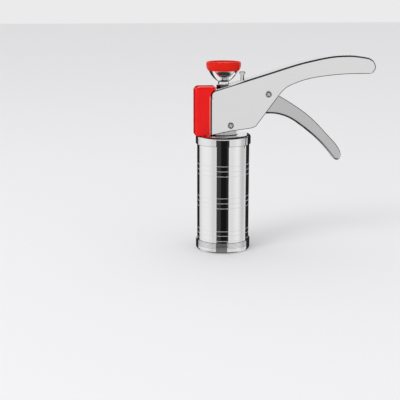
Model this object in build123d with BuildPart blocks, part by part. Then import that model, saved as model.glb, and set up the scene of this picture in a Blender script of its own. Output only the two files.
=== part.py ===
"""Lever-operated hand press for sevai, modelled piece by piece in millimetres.

The barrel stands on the origin with its axis on +Z, and the handle runs back along +X.
Squeezing the trigger presses a jam plate down the plunger rod; a second, tilted plate
keeps the rod from rising until the release pin squares it.
"""
import math
import os

from build123d import *

# ---- driving dimensions ----------------------------------------------------------------
# fits
running_fit = 0.05          # radial, between parts that turn or slide in one another
thread_fit = 0.06           # radial, between a thread's two plain cylinders
piston_fit = 0.08           # radial, piston in barrel
seat_gap = 0.3              # between faces of parts that move apart
touch_gap = 0.05            # between faces of parts that are fastened together

# barrel, bottom cap and disc
barrel_od = 52.0
barrel_wall = 1.0
barrel_length = 112.0
bottom_cap_wall = 1.2       # left outside the thread
bottom_cap_height = 10.6
bottom_cap_lip = 1.6        # thickness of the inward lip that carries the disc
bottom_cap_round = 2.5
lip_reach = 3.0             # how far the lip reaches in under the barrel
bead_count = 4
bead_pitch = 1.3
bead_depth = 0.25
disc_thickness = 1.2
disc_fit = 0.15
disc_hole_radius = 0.9
disc_hole_pitch = 6.0
disc_hole_rings = 3

# head cap and the guide that is clamped through it
head_cap_skirt = 9.1        # from the flat top down to the lower edge
head_cap_sheet = 1.3        # also what the skirt has outside the thread
head_cap_round = 1.8
step_radius = 14.0          # raised middle of the head cap
step_rise = 0.8
lower_bush_radius = 5.0
lower_bush_flange = 9.0
flange_thickness = 1.4
guide_nut_flats = 14.0
guide_nut_height = 2.2

# plunger
rod_radius = 4.0
piston_height = 9.0
piston_floor = 2.5
piston_rest_gap = 0.8       # left under the piston when the plunger is fully down
piston_skirt = 2.4
piston_hub = 8.0
ring_height = 3.0
ring_depth = 1.2
screw_radius = 2.5
screw_length = 18.0
screw_head_radius = 4.8
knob_radius = 17.2
knob_cap_height = 8.6
knob_cup_radius = 15.0
knob_cup_height = 13.6
knob_neck_radius = 5.3
knob_sheet = 1.0
rod_in_knob = 4.0           # how far the rod runs up into the red cap

# body and handle
body_sheet = 1.0
body_width = 22.0
body_bend = 2.0
body_front = -13.3
body_to_cap = 0.25          # gap between the head cap's flat top and the body's front corner
front_height = 42.95        # from that corner up to where top and front would meet
front_corner_round = 6.0
handle_tip_radius = 6.2
top_slope = 0.3055          # rise of the straight part of the top, per unit of length
straight_end_x = 44.7       # where the straight part of the top ends
pivot_x = 43.1
pivot_height = 39.95        # above the head cap's flat top
rear_corner_round = 6.0

# side outline of the body: points (x, height above the head cap's flat top)
lower_front = (6.3, 4.25)
lower_rear = (30.0, 7.2)
handle_root = (53.4, 38.5)
handle_palm = ((59.8, 45.5), (74.6, 52.2), (106.5, 57.9))
handle_tip = (144.3, 59.1)      # lowest point of the round end
handle_back = ((147.3, 72.1), (134.0, 76.1), (114.0, 76.9), (84.0, 72.1))

# fasteners
pin_screw_radius = 2.0
pan_head_radius = 3.05
pan_head_height = 1.9
recess_width = 0.8
recess_depth = 0.9
bracket_screw_x = 5.9
bracket_screw_height = 9.85
pivot_nut_flats = 7.0
pivot_nut_height = 3.0

# cap bracket
bracket_sheet = 1.5
bracket_front = -10.6
bracket_shelf_height = 14.75    # underside of the spring shelf above the step's top
ear_front = 0.0
ear_rear = 11.8
bracket_rear = 23.5

# trigger, and its side outline in the same kind of points
trigger_side_gap = 3.0          # to the body's side plates
trigger_sheet = 1.2
trigger_round = 3.2
finger_start = (42.5, 20.1)
finger_points = ((51.2, 19.9), (61.0, 17.3), (80.6, 5.2), (100.5, -12.7))
finger_end = (111.9, -26.3)
grip_end = (119.3, -22.9)
grip_points = ((116.6, -16.5), (103.3, -0.7), (83.4, 18.9), (63.7, 32.5))
grip_start = (53.0, 38.9)
arm_rear = (47.0, 47.4)
arm_top = (38.0, 48.0)
arm_root = (34.5, 34.0)
arm_foot = (38.0, 23.0)
arm_round = 5.0
sleeve_radius = 3.5
spacer_rim = 2.5
nose_radius = 3.0
nose_x = 20.1

# jam plates, springs and release pin
drive_plate_thickness = 3.0
drive_plate_front = -9.0
drive_plate_rear = 23.5
drive_side_gap = 1.5            # to the body's side plates
drive_travel = 12.0
return_spring_radius = 6.4      # to the middle of the wire
return_spring_wire = 1.2
return_spring_turns = 5
catch_plate_thickness = 2.0
catch_tilt = 6.0                # degrees at rest
catch_side_gap = 2.5            # to the body's side plates
catch_hole_radius = 4.25
catch_tail_width = 8.4
catch_height = 10.15            # of the hinge line above the step's top
catch_spring_radius = 5.9
catch_spring_wire = 0.8
catch_spring_turns = 3
pin_x = 18.6
pin_radius = 1.85
pin_head_radius = 3.1
pin_head_height = 2.3
pin_head_rise = 6.4             # underside of the head above the web
pin_collar_radius = 2.8
pin_collar_height = 1.8
pin_guide_radius = 3.4
pin_guide_length = 6.0
pin_slot = 6.2

# upper guide
upper_bush_radius = 5.5
upper_bush_depth = 5.6          # below the web's outer face on the rod's axis
collar_flats = 12.0
collar_rise = 1.7               # above the web's outer face on the rod's axis

# nose cover
nose_front = -28.9
nose_overhang = 1.0             # each side, beyond the body's side plates
nose_wall = 1.8
nose_round = 4.6
nose_edge_round = 3.6
nose_top_rise = 0.4             # above the web's outer face on the rod's axis
nose_top_rear = -9.4
nose_lift = 0.3                 # lower edge above the head cap's flat top
nose_gap = 0.9                  # dark joint between the cover and the body
tongue_rear = -6.8
tongue_thickness = 1.2
tongue_height = 26.0

# ---- heights worked out from them ------------------------------------------------------
barrel_radius = barrel_od / 2
bore_radius = barrel_radius - barrel_wall
thread_radius = barrel_radius + thread_fit
bottom_cap_radius = thread_radius + bottom_cap_wall
mouth_radius = barrel_radius - lip_reach
head_cap_radius = thread_radius + head_cap_sheet
disc_top = bottom_cap_lip + disc_thickness
barrel_bottom = disc_top + touch_gap
barrel_top = barrel_bottom + barrel_length
cap_inside = barrel_top + seat_gap
cap_top = cap_inside + head_cap_sheet
step_top = cap_top + step_rise
bracket_top = step_top + bracket_sheet
guide_nut_top = bracket_top + guide_nut_height
shelf_bottom = step_top + bracket_shelf_height
shelf_top = shelf_bottom + bracket_sheet
pivot_z = cap_top + pivot_height
bracket_screw_z = cap_top + bracket_screw_height
channel_half = body_width / 2 - body_sheet
trigger_half = channel_half - trigger_side_gap
drive_half = channel_half - drive_side_gap
catch_half = channel_half - catch_side_gap
nose_half = body_width / 2 + nose_overhang

front_bottom = (body_front, cap_top + body_to_cap)
front_top = (body_front, front_bottom[1] + front_height)


def web_z(x, depth=0.0):
    """Height of the web's straight part at x, or of a face that lies this deep under it."""
    across = depth * math.sqrt(1 + top_slope**2)
    return front_top[1] + top_slope * (x - body_front) - across


def above_cap(x, rise):
    """A point of a side outline, given by its height above the head cap's flat top."""
    return (x, cap_top + rise)


def between(first, second):
    """The point halfway between two points of a side outline."""
    return above_cap((first[0] + second[0]) / 2, (first[1] + second[1]) / 2)


def front_corner(depth):
    """Where the body's front and top faces would meet, this deep inside its outline."""
    return (body_front + depth, web_z(body_front + depth, depth))


def inset(curve, place, depth):
    """The point this deep on the left of a curve of a side outline."""
    spot = curve @ place
    ahead = (curve % place).normalized()
    return (spot.X - depth * ahead.Y, spot.Y + depth * ahead.X)


upper_bush_bottom = web_z(0) - upper_bush_depth
drive_plate_top = upper_bush_bottom - seat_gap
drive_plate_bottom = drive_plate_top - drive_plate_thickness
catch_z = step_top + catch_height
catch_x = bracket_front + bracket_sheet / 2
collar_top = web_z(0) + collar_rise
knob_bottom = collar_top + seat_gap
web_plane = Plane(
    origin=(0, 0, web_z(0)), x_dir=(1, 0, top_slope), z_dir=(-top_slope, 0, 1)
)
pivot = (pivot_x, pivot_z)
side_plane = Plane.XZ

os.makedirs("parts", exist_ok=True)


# ---- barrel, bottom cap and disc -------------------------------------------------------
with BuildPart() as barrel:
    with BuildSketch(Plane.XY.offset(barrel_bottom)):
        Circle(barrel_radius)
        Circle(bore_radius, mode=Mode.SUBTRACT)
    extrude(amount=barrel_length)
barrel.part.label = "barrel"

with BuildPart() as bottom_cap:
    with BuildSketch(side_plane):
        with BuildLine():
            Polyline(
                (mouth_radius, 0),
                (bottom_cap_radius, 0),
                (bottom_cap_radius, bottom_cap_height),
                (thread_radius, bottom_cap_height),
                (thread_radius, bottom_cap_lip),
                (mouth_radius, bottom_cap_lip),
                close=True,
            )
        make_face()
        lower_edge = vertices().sort_by_distance((bottom_cap_radius, 0))[0]
        fillet(lower_edge, bottom_cap_round)
        bead_spots = [
            (bottom_cap_radius, bottom_cap_height - (turn + 1) * bead_pitch)
            for turn in range(bead_count)
        ]
        with Locations(*bead_spots):
            Rectangle(2 * bead_depth, bead_pitch / 3, mode=Mode.SUBTRACT)
    revolve(axis=Axis.Z)
bottom_cap.part.label = "bottom_cap"

with BuildPart() as sevai_disc:
    with BuildSketch(Plane.XY.offset(bottom_cap_lip)):
        Circle(barrel_radius - disc_fit)
        for ring in range(1, disc_hole_rings + 1):
            with PolarLocations(ring * disc_hole_pitch, 6 * ring):
                Circle(disc_hole_radius, mode=Mode.SUBTRACT)
        Circle(disc_hole_radius, mode=Mode.SUBTRACT)
    extrude(amount=disc_thickness)
sevai_disc.part.label = "sevai_disc"

# ---- head cap --------------------------------------------------------------------------
with BuildPart() as head_cap:
    with BuildSketch(side_plane):
        with BuildLine():
            Polyline(
                (lower_bush_radius, step_top),
                (step_radius, step_top),
                (step_radius + step_rise, cap_top),
                (head_cap_radius, cap_top),
                (head_cap_radius, cap_top - head_cap_skirt),
                (thread_radius, cap_top - head_cap_skirt),
                (thread_radius, cap_inside),
                (step_radius, cap_inside),
                (step_radius - step_rise, cap_inside + step_rise),
                (lower_bush_radius, cap_inside + step_rise),
                close=True,
            )
        make_face()
        shoulder = vertices().sort_by_distance((head_cap_radius, cap_top))[0]
        fillet(shoulder, head_cap_round)
    revolve(axis=Axis.Z)
head_cap.part.label = "head_cap"

with BuildPart() as lower_guide_bush:
    with BuildSketch(Plane.XY.offset(cap_inside + step_rise)):
        Circle(lower_bush_flange)
    extrude(amount=-flange_thickness)
    with BuildSketch(Plane.XY.offset(cap_inside + step_rise)):
        Circle(lower_bush_radius)
    extrude(amount=guide_nut_top + touch_gap - cap_inside - step_rise)
    with BuildSketch():
        Circle(rod_radius + running_fit)
    extrude(amount=2 * cap_top, mode=Mode.SUBTRACT)
lower_guide_bush.part.label = "lower_guide_bush"

with BuildPart() as guide_nut:
    with BuildSketch(Plane.XY.offset(bracket_top)):
        RegularPolygon(guide_nut_flats / 2, 6, major_radius=False)
        Circle(lower_bush_radius, mode=Mode.SUBTRACT)
    extrude(amount=guide_nut_height)
guide_nut.part.label = "guide_nut"

# ---- plunger ---------------------------------------------------------------------------
piston_bottom = disc_top + piston_rest_gap
piston_top = piston_bottom + piston_height
piston_radius = bore_radius - piston_fit
ring_bottom = piston_bottom + (piston_height - ring_height) / 2
rod_bottom = piston_bottom + piston_floor + touch_gap
knob_cap_bottom = knob_bottom + knob_cup_height
rod_top = knob_cap_bottom + rod_in_knob

with BuildPart() as plunger_rod:
    with BuildSketch(Plane.XY.offset(rod_bottom)):
        Circle(rod_radius)
    extrude(amount=rod_top - rod_bottom)
    chamfer(plunger_rod.edges().sort_by(Axis.Z)[-1], rod_radius / 8)
    with BuildSketch(Plane.XY.offset(rod_bottom)):
        Circle(screw_radius)
    extrude(amount=screw_length - piston_floor, mode=Mode.SUBTRACT)
plunger_rod.part.label = "plunger_rod"

with BuildPart() as piston:
    with BuildSketch(Plane.XY.offset(piston_bottom)):
        Circle(piston_radius)
    extrude(amount=piston_height)
    chamfer(piston.edges().group_by(Axis.Z)[0], bead_depth * 2)
    with BuildSketch(Plane.XY.offset(piston_bottom + piston_floor)):
        Circle(piston_radius - ring_depth - piston_skirt)
        Circle(piston_hub, mode=Mode.SUBTRACT)
    extrude(amount=piston_height, mode=Mode.SUBTRACT)
    with BuildSketch(Plane.XY.offset(piston_bottom + piston_floor)):
        Circle(rod_radius + touch_gap)
    extrude(amount=piston_height, mode=Mode.SUBTRACT)
    with BuildSketch(Plane.XY.offset(piston_bottom)):
        Circle(screw_radius)
    extrude(amount=piston_floor, mode=Mode.SUBTRACT)
    with BuildSketch(side_plane):
        with BuildLine():
            Polyline(
                (0, piston_bottom),
                (screw_head_radius, piston_bottom),
                (screw_radius, piston_bottom + screw_head_radius - screw_radius),
                (0, piston_bottom + screw_head_radius - screw_radius),
                close=True,
            )
        make_face()
    revolve(axis=Axis.Z, mode=Mode.SUBTRACT)
    with BuildSketch(Plane.XY.offset(ring_bottom)):
        Circle(piston_radius + 1)
        Circle(piston_radius - ring_depth, mode=Mode.SUBTRACT)
    extrude(amount=ring_height, mode=Mode.SUBTRACT)
piston.part.label = "piston"

with BuildPart() as piston_ring:
    with BuildSketch(Plane.XY.offset(ring_bottom)):
        Circle(piston_radius + running_fit / 2)
        Circle(piston_radius - ring_depth, mode=Mode.SUBTRACT)
    extrude(amount=ring_height)
piston_ring.part.label = "piston_ring"

with BuildPart() as piston_screw:
    with BuildSketch(side_plane):
        with BuildLine():
            Polyline(
                (0, piston_bottom),
                (screw_head_radius, piston_bottom),
                (screw_radius, piston_bottom + screw_head_radius - screw_radius),
                (screw_radius, piston_bottom + screw_length - piston_floor),
                (0, piston_bottom + screw_length - piston_floor),
                close=True,
            )
        make_face()
    revolve(axis=Axis.Z)
    with BuildSketch(Plane.XY.offset(piston_bottom)):
        Rectangle(screw_head_radius, recess_width)
        Rectangle(recess_width, screw_head_radius)
    extrude(amount=recess_depth, mode=Mode.SUBTRACT)
piston_screw.part.label = "piston_screw"

with BuildPart() as knob_cup:
    with BuildSketch(side_plane):
        with BuildLine():
            neck_top = (knob_neck_radius, knob_bottom + knob_cup_height * 0.2)
            bowl_turn = (knob_cup_radius * 0.76, knob_bottom + knob_cup_height * 0.6)
            rim = (knob_cup_radius, knob_bottom + knob_cup_height)
            neck = Line((knob_neck_radius, knob_bottom), neck_top)
            ThreePointArc(neck_top, bowl_turn, rim)
            Polyline(rim, (rod_radius, rim[1]), (rod_radius, knob_bottom), neck @ 0)
        make_face()
    revolve(axis=Axis.Z)
    with BuildSketch(side_plane):
        with BuildLine():
            inner_turn = (bowl_turn[0] - knob_sheet * 0.75, bowl_turn[1] + knob_sheet * 0.65)
            inner_rim = (rim[0] - knob_sheet, rim[1])
            inner_foot = (rod_radius + knob_sheet, neck_top[1] + knob_sheet)
            ThreePointArc(inner_foot, inner_turn, inner_rim)
            Polyline(inner_rim, (inner_foot[0], rim[1]), inner_foot)
        make_face()
    revolve(axis=Axis.Z, mode=Mode.SUBTRACT)
knob_cup.part.label = "knob_cup"

with BuildPart() as knob_cap:
    with BuildSketch(side_plane):
        with BuildLine():
            skirt = (knob_cup_radius + touch_gap, knob_cap_bottom)
            widest = (knob_radius, knob_cap_bottom + knob_cap_height * 0.5)
            rim_top = (knob_radius - 1.2, knob_cap_bottom + knob_cap_height * 0.94)
            dish_edge = (knob_radius - 3.0, knob_cap_bottom + knob_cap_height * 0.94)
            dish_middle = (0, knob_cap_bottom + knob_cap_height * 0.9)
            Line((0, knob_cap_bottom), skirt)
            ThreePointArc(skirt, widest, rim_top)
            ThreePointArc(
                rim_top,
                ((rim_top[0] + dish_edge[0]) / 2, rim_top[1] + 0.45),
                dish_edge,
            )
            Line(dish_edge, dish_middle)
            Line(dish_middle, (0, knob_cap_bottom))
        make_face()
    revolve(axis=Axis.Z)
    with BuildSketch(Plane.XY.offset(knob_cap_bottom)):
        Circle(rod_radius)
    extrude(amount=rod_in_knob + touch_gap, mode=Mode.SUBTRACT)
knob_cap.part.label = "knob_cap"

# ---- body and handle, one folded channel -----------------------------------------------
rear_top = above_cap(*handle_root)
tip_low = above_cap(*handle_tip)
tip_middle = (tip_low[0], tip_low[1] + handle_tip_radius)
tip_end_angle = math.radians(10)
tip_rear = (
    tip_middle[0] + handle_tip_radius * math.cos(tip_end_angle),
    tip_middle[1] + handle_tip_radius * math.sin(tip_end_angle),
)
straight_end = (straight_end_x, web_z(straight_end_x))
rear_low = above_cap(*lower_rear)
below_tip = above_cap(handle_tip[0] + 2 * handle_tip_radius, 0)

with BuildSketch(side_plane) as body_outline:
    with BuildLine():
        underside = Spline(
            rear_top,
            *[above_cap(*spot) for spot in handle_palm],
            tip_low,
            tangents=((1, 1.337), (1, 0)),
        )
        tip = TangentArc(tip_low, tip_rear, tangent=(1, 0))
        top = Spline(
            tip_rear,
            *[above_cap(*spot) for spot in handle_back],
            straight_end,
            tangents=(tip % 1, (-1, -top_slope)),
            tangent_scalars=(1, 1),
        )
        Polyline(
            straight_end,
            front_top,
            front_bottom,
            above_cap(*lower_front),
            rear_low,
            rear_top,
        )
    make_face()
    fillet(vertices().sort_by_distance(front_top)[0], front_corner_round)
    fillet(vertices().sort_by_distance(rear_low)[0], rear_corner_round)

fold_bottom = front_top[1] - front_corner_round - 1
with BuildSketch(side_plane) as below_fold:
    # the side plates' flat part, under the line where the folded edge stops
    with BuildLine():
        Polyline(
            (nose_front, fold_bottom),
            (0, fold_bottom),
            between(handle_root, (straight_end_x, straight_end[1] - cap_top)),
            between(handle_palm[1], handle_back[-1]),
            tip_middle,
            inset(tip, 0.4, -body_width),
            below_tip,
            (nose_front, cap_top),
            close=True,
        )
    make_face()

with BuildPart() as body_space:
    with BuildSketch(side_plane):
        with BuildLine():
            inner_top = Spline(
                *[inset(top, step / 10, body_sheet) for step in range(11)],
                tangents=(top % 0, top % 1),
                tangent_scalars=(1, 1),
            )
            Polyline(
                inner_top @ 1,
                front_corner(body_sheet),
                (body_front + body_sheet, fold_bottom),
                (body_front - body_sheet, fold_bottom),
                (body_front - body_sheet, cap_top),
                below_tip,
                inset(tip, 0.4, -body_width),
                inset(tip, 0.4, body_sheet),
            )
            ThreePointArc(
                inset(tip, 0.4, body_sheet),
                inset(tip, 0.7, body_sheet),
                inner_top @ 0,
            )
        make_face()
        fillet(
            vertices().sort_by_distance(front_corner(body_sheet))[0],
            front_corner_round - body_sheet,
        )
    extrude(amount=channel_half, both=True)
    inner_spot = inner_top @ 0.5
    for side in (-1, 1):
        fold = body_space.edges().sort_by_distance(
            (inner_spot.X, side * channel_half, inner_spot.Y)
        )[0]
        fillet(fold, body_bend - body_sheet)

with BuildPart() as body_shell:
    with BuildSketch(side_plane):
        add(body_outline.sketch_local)
        add(below_fold.sketch_local, mode=Mode.SUBTRACT)
    extrude(amount=body_width / 2, both=True)
    fold_spot = top @ 0.5
    for side in (-1, 1):
        fold = body_shell.edges().sort_by_distance(
            (fold_spot.X, side * body_width / 2, fold_spot.Y)
        )[0]
        fillet(fold, body_bend)
    with BuildSketch(side_plane):
        add(body_outline.sketch_local)
        add(below_fold.sketch_local, mode=Mode.INTERSECT)
    extrude(amount=body_width / 2, both=True)
    add(body_space.part, mode=Mode.SUBTRACT)
    with BuildSketch(side_plane):
        with Locations(pivot, (bracket_screw_x, bracket_screw_z)):
            Circle(pin_screw_radius + running_fit)
    extrude(amount=body_width, both=True, mode=Mode.SUBTRACT)
    with BuildSketch(Plane.XY.offset(pivot_z)):
        Circle(upper_bush_radius + touch_gap)
        with Locations((pin_x, 0)):
            Circle(pin_guide_radius + touch_gap)
    extrude(amount=body_width, mode=Mode.SUBTRACT)
body_shell.part.label = "body_shell"

# ---- guides in the web -----------------------------------------------------------------
with BuildPart() as upper_guide_bush:
    with BuildSketch(Plane.XY.offset(upper_bush_bottom)):
        RegularPolygon(collar_flats / 2, 6, major_radius=False)
    extrude(amount=collar_top - upper_bush_bottom)
    split(bisect_by=web_plane, keep=Keep.TOP)
    with BuildSketch(Plane.XY.offset(upper_bush_bottom)):
        Circle(upper_bush_radius)
    extrude(amount=collar_top - upper_bush_bottom)
    with BuildSketch():
        Circle(rod_radius + running_fit)
    extrude(amount=2 * collar_top, mode=Mode.SUBTRACT)
upper_guide_bush.part.label = "upper_guide_bush"

pin_guide_bottom = web_z(pin_x) - pin_guide_length
with BuildPart() as pin_guide:
    with BuildSketch(Plane.XY.offset(pin_guide_bottom)):
        with Locations((pin_x, 0)):
            Circle(pin_guide_radius)
            Circle(pin_radius + running_fit, mode=Mode.SUBTRACT)
    extrude(amount=2 * pin_guide_length)
    split(bisect_by=web_plane, keep=Keep.BOTTOM)
pin_guide.part.label = "pin_guide"

# ---- cap bracket: base, two ears, slotted front wall and spring shelf -------------------
bracket_half = channel_half - touch_gap
shelf_half = bracket_half - bracket_sheet + touch_gap
ear_top = shelf_top

with BuildPart() as cap_bracket:
    with BuildSketch(Plane.XY.offset(step_top)):
        with Locations(((bracket_front + ear_rear) / 2, 0)):
            Rectangle(ear_rear - bracket_front, 2 * bracket_half)
        fillet(vertices(), 2.0)
    extrude(amount=bracket_sheet)
    with BuildSketch(side_plane):
        with Locations(((ear_front + ear_rear) / 2, (step_top + ear_top) / 2)):
            Rectangle(ear_rear - ear_front, ear_top - step_top)
        fillet(vertices().group_by(Axis.Y)[-1], 3.0)
    extrude(amount=bracket_half, both=True)
    with BuildSketch(side_plane):
        with Locations((0, bracket_top)):
            Rectangle(
                4 * ear_rear,
                2 * (ear_top - bracket_top),
                align=(Align.CENTER, Align.MIN),
            )
    extrude(amount=bracket_half - bracket_sheet, both=True, mode=Mode.SUBTRACT)
    with BuildSketch(side_plane):
        with BuildLine():
            Polyline(
                (bracket_front, step_top),
                (bracket_front, shelf_top),
                (bracket_rear, shelf_top),
                (bracket_rear, shelf_bottom),
                (bracket_front + bracket_sheet, shelf_bottom),
                (bracket_front + bracket_sheet, step_top),
                close=True,
            )
        make_face()
        fillet(vertices().sort_by_distance((bracket_front, shelf_top))[0], bracket_sheet)
    extrude(amount=shelf_half, both=True)
    with BuildSketch(Plane.XY.offset(step_top)):
        Circle(lower_bush_radius)
    extrude(amount=bracket_sheet, mode=Mode.SUBTRACT)
    with BuildSketch(Plane.XY.offset(shelf_bottom)):
        Circle(rod_radius + 2 * seat_gap)
        with Locations((pin_x, 0)):
            Circle(pin_radius + 2 * running_fit)
    extrude(amount=bracket_sheet, mode=Mode.SUBTRACT)
    with BuildSketch(Plane.YZ.offset(bracket_front)):
        with Locations((0, catch_z)):
            Rectangle(catch_tail_width + 2 * seat_gap, catch_plate_thickness + 2.6 * seat_gap)
    extrude(amount=bracket_sheet, mode=Mode.SUBTRACT)
    with BuildSketch(side_plane):
        with Locations((bracket_screw_x, bracket_screw_z)):
            Circle(pin_screw_radius)
    extrude(amount=body_width, both=True, mode=Mode.SUBTRACT)
cap_bracket.part.label = "cap_bracket"

# ---- trigger ---------------------------------------------------------------------------
nose = (nose_x, drive_plate_top + seat_gap + nose_radius)
web_start = above_cap(*finger_start)
tip_lower = above_cap(*finger_end)
tip_upper = above_cap(*grip_end)

with BuildSketch(side_plane) as trigger_outline:
    with BuildLine():
        finger_side = Spline(
            web_start,
            *[above_cap(*spot) for spot in finger_points],
            tip_lower,
            tangents=((1, 0.05), (0.62, -0.78)),
            tangent_scalars=(1, 1),
        )
        trigger_tip = TangentArc(tip_lower, tip_upper, tangent=finger_side % 1)
        handle_side = Spline(
            tip_upper,
            *[above_cap(*spot) for spot in grip_points],
            above_cap(*grip_start),
            tangents=((-0.35, 1), (-1, 0.6)),
            tangent_scalars=(1, 1),
        )
        Polyline(
            above_cap(*grip_start),
            above_cap(*arm_rear),
            above_cap(*arm_top),
            (nose[0], nose[1] + nose_radius),
        )
        ThreePointArc(
            (nose[0], nose[1] + nose_radius),
            (nose[0] - nose_radius, nose[1]),
            (nose[0], nose[1] - nose_radius),
        )
        Polyline(
            (nose[0], nose[1] - nose_radius),
            (nose[0] + nose_radius, nose[1] - 0.7 * nose_radius),
            above_cap(*arm_root),
            above_cap(*arm_foot),
            web_start,
        )
    make_face()
    fillet(vertices().sort_by_distance(above_cap(*arm_rear))[0], arm_round)
    fillet(vertices().sort_by_distance(above_cap(*arm_top))[0], arm_round)
    fillet(vertices().sort_by_distance(above_cap(*arm_root))[0], arm_round)

with BuildPart() as trigger_space:
    with BuildSketch(side_plane):
        with BuildLine():
            inner_finger = Spline(
                *[inset(finger_side, step / 10, trigger_sheet) for step in range(11)],
                tangents=(finger_side % 0, finger_side % 1),
                tangent_scalars=(1, 1),
            )
            inner_tip = ThreePointArc(
                inner_finger @ 1,
                inset(trigger_tip, 0.5, trigger_sheet),
                inset(trigger_tip, 1, trigger_sheet),
            )
            Polyline(
                inner_tip @ 1,
                inset(trigger_tip, 1, -2 * trigger_half),
                above_cap(*handle_tip),
                above_cap(0, handle_tip[1]),
                above_cap(0, 0),
                inset(finger_side, 0, -trigger_sheet),
                inner_finger @ 0,
            )
        make_face()
    extrude(amount=trigger_half - trigger_sheet, both=True)
    finger_spot = inner_finger @ 0.5
    for side in (-1, 1):
        bend = trigger_space.edges().sort_by_distance(
            (finger_spot.X, side * (trigger_half - trigger_sheet), finger_spot.Y)
        )[0]
        fillet(bend, trigger_round - trigger_sheet)

with BuildPart() as trigger:
    with BuildSketch(side_plane):
        add(trigger_outline.sketch_local)
    extrude(amount=trigger_half, both=True)
    finger_spot = finger_side @ 0.5
    for side in (-1, 1):
        bend = trigger.edges().sort_by_distance(
            (finger_spot.X, side * trigger_half, finger_spot.Y)
        )[0]
        fillet(bend, trigger_round)
    add(trigger_space.part, mode=Mode.SUBTRACT)
    with BuildSketch(side_plane):
        with Locations(pivot):
            Circle(sleeve_radius + running_fit)
    extrude(amount=2 * trigger_half, both=True, mode=Mode.SUBTRACT)
trigger.part.label = "trigger"

# ---- pivot: screw, sleeve, spacers and nut ---------------------------------------------
with BuildPart() as pivot_sleeve:
    with BuildSketch(side_plane):
        with Locations(pivot):
            Circle(sleeve_radius)
            Circle(pin_screw_radius + touch_gap, mode=Mode.SUBTRACT)
    extrude(amount=channel_half, both=True)
pivot_sleeve.part.label = "pivot_sleeve"

spacer_length = trigger_side_gap - 2 * touch_gap
with BuildPart() as pivot_spacers:
    with BuildSketch(side_plane.offset(channel_half)):
        with Locations(pivot):
            Circle(sleeve_radius + spacer_rim)
            Circle(sleeve_radius + touch_gap, mode=Mode.SUBTRACT)
    extrude(amount=-spacer_length)
    mirror(about=Plane.XZ)
pivot_spacers.part.label = "pivot_spacers"

pan_dome = pan_head_height * 0.45
with BuildPart() as pivot_screw:
    with BuildSketch(side_plane.offset(body_width / 2)):
        with Locations(pivot):
            Circle(pan_head_radius)
    extrude(amount=pan_head_height)
    fillet(pivot_screw.edges().sort_by(Axis.Y)[0], pan_dome)
    with BuildSketch(side_plane.offset(body_width / 2)):
        with Locations(pivot):
            Circle(pin_screw_radius)
    extrude(amount=-(body_width + pivot_nut_height + 1))
    with BuildSketch(side_plane.offset(body_width / 2 + pan_head_height)):
        with Locations(pivot):
            Rectangle(1.2 * pan_head_radius, recess_width, rotation=45)
            Rectangle(1.2 * pan_head_radius, recess_width, rotation=-45)
    extrude(amount=-recess_depth, mode=Mode.SUBTRACT)
pivot_screw.part.label = "pivot_screw"

with BuildPart() as pivot_nut:
    with BuildSketch(side_plane.offset(-body_width / 2)):
        with Locations(pivot):
            RegularPolygon(pivot_nut_flats / 2, 6, major_radius=False)
            Circle(pin_screw_radius, mode=Mode.SUBTRACT)
    extrude(amount=-pivot_nut_height)
pivot_nut.part.label = "pivot_nut"

with BuildPart() as bracket_screws:
    bracket_screw = (bracket_screw_x, bracket_screw_z)
    with BuildSketch(side_plane.offset(body_width / 2)):
        with Locations(bracket_screw):
            Circle(pan_head_radius)
    extrude(amount=pan_head_height)
    fillet(bracket_screws.edges().sort_by(Axis.Y)[0], pan_dome)
    with BuildSketch(side_plane.offset(body_width / 2)):
        with Locations(bracket_screw):
            Circle(pin_screw_radius)
    extrude(amount=-(body_sheet + touch_gap + bracket_sheet))
    with BuildSketch(side_plane.offset(body_width / 2 + pan_head_height)):
        with Locations(bracket_screw):
            Rectangle(1.2 * pan_head_radius, recess_width, rotation=20)
            Rectangle(1.2 * pan_head_radius, recess_width, rotation=-70)
    extrude(amount=-recess_depth, mode=Mode.SUBTRACT)
    mirror(about=Plane.XZ)
bracket_screws.part.label = "bracket_screws"

# ---- drive plate and return spring -----------------------------------------------------
with BuildPart() as drive_plate:
    with BuildSketch(Plane.XY.offset(drive_plate_bottom)):
        with Locations(((drive_plate_front + drive_plate_rear) / 2, 0)):
            Rectangle(drive_plate_rear - drive_plate_front, 2 * drive_half)
        fillet(vertices(), 2.0)
        Circle(rod_radius + 2 * running_fit, mode=Mode.SUBTRACT)
        with Locations((pin_x - pin_slot / 2, 0)):
            Rectangle(
                2 * drive_plate_rear, pin_slot, align=(Align.MIN, Align.CENTER), mode=Mode.SUBTRACT
            )
    extrude(amount=drive_plate_thickness)
drive_plate.part.label = "drive_plate"


def coil_arcs(radius, bottom, top, turns):
    """Smooth pairs of arcs along a helix, one pair for each half turn."""
    rise = (top - bottom) / (2 * math.pi * turns)
    along = math.hypot(radius, rise)

    def spot(angle):
        return Vector(radius * math.cos(angle), radius * math.sin(angle), bottom + rise * angle)

    def heading(angle):
        return Vector(-radius * math.sin(angle), radius * math.cos(angle), rise) / along

    for half in range(2 * turns):
        start, end = math.pi * half, math.pi * (half + 1)
        chord = spot(end) - spot(start)
        both = heading(start) + heading(end)
        a = 2 * heading(start).dot(heading(end)) - 2
        b = -2 * chord.dot(both)
        c = chord.dot(chord)
        reach = (-b - math.sqrt(b * b - 4 * a * c)) / (2 * a)
        first = spot(start) + heading(start) * reach
        second = spot(end) - heading(end) * reach
        middle = (first + second) * 0.5
        TangentArc(spot(start), middle, tangent=heading(start))
        TangentArc(middle, spot(end), tangent=second - middle)


def least_coil_gap(path, wire, turns):
    """Least clear space from a coil's wire to itself, measured on points along its middle."""
    steps = 36 * turns
    spots = [path @ (step / steps) for step in range(steps + 1)]
    half_turn = 18
    return min(
        (spots[i] - spots[j]).length
        for i in range(steps + 1)
        for j in range(i + half_turn, steps + 1)
    ) - wire


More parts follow.
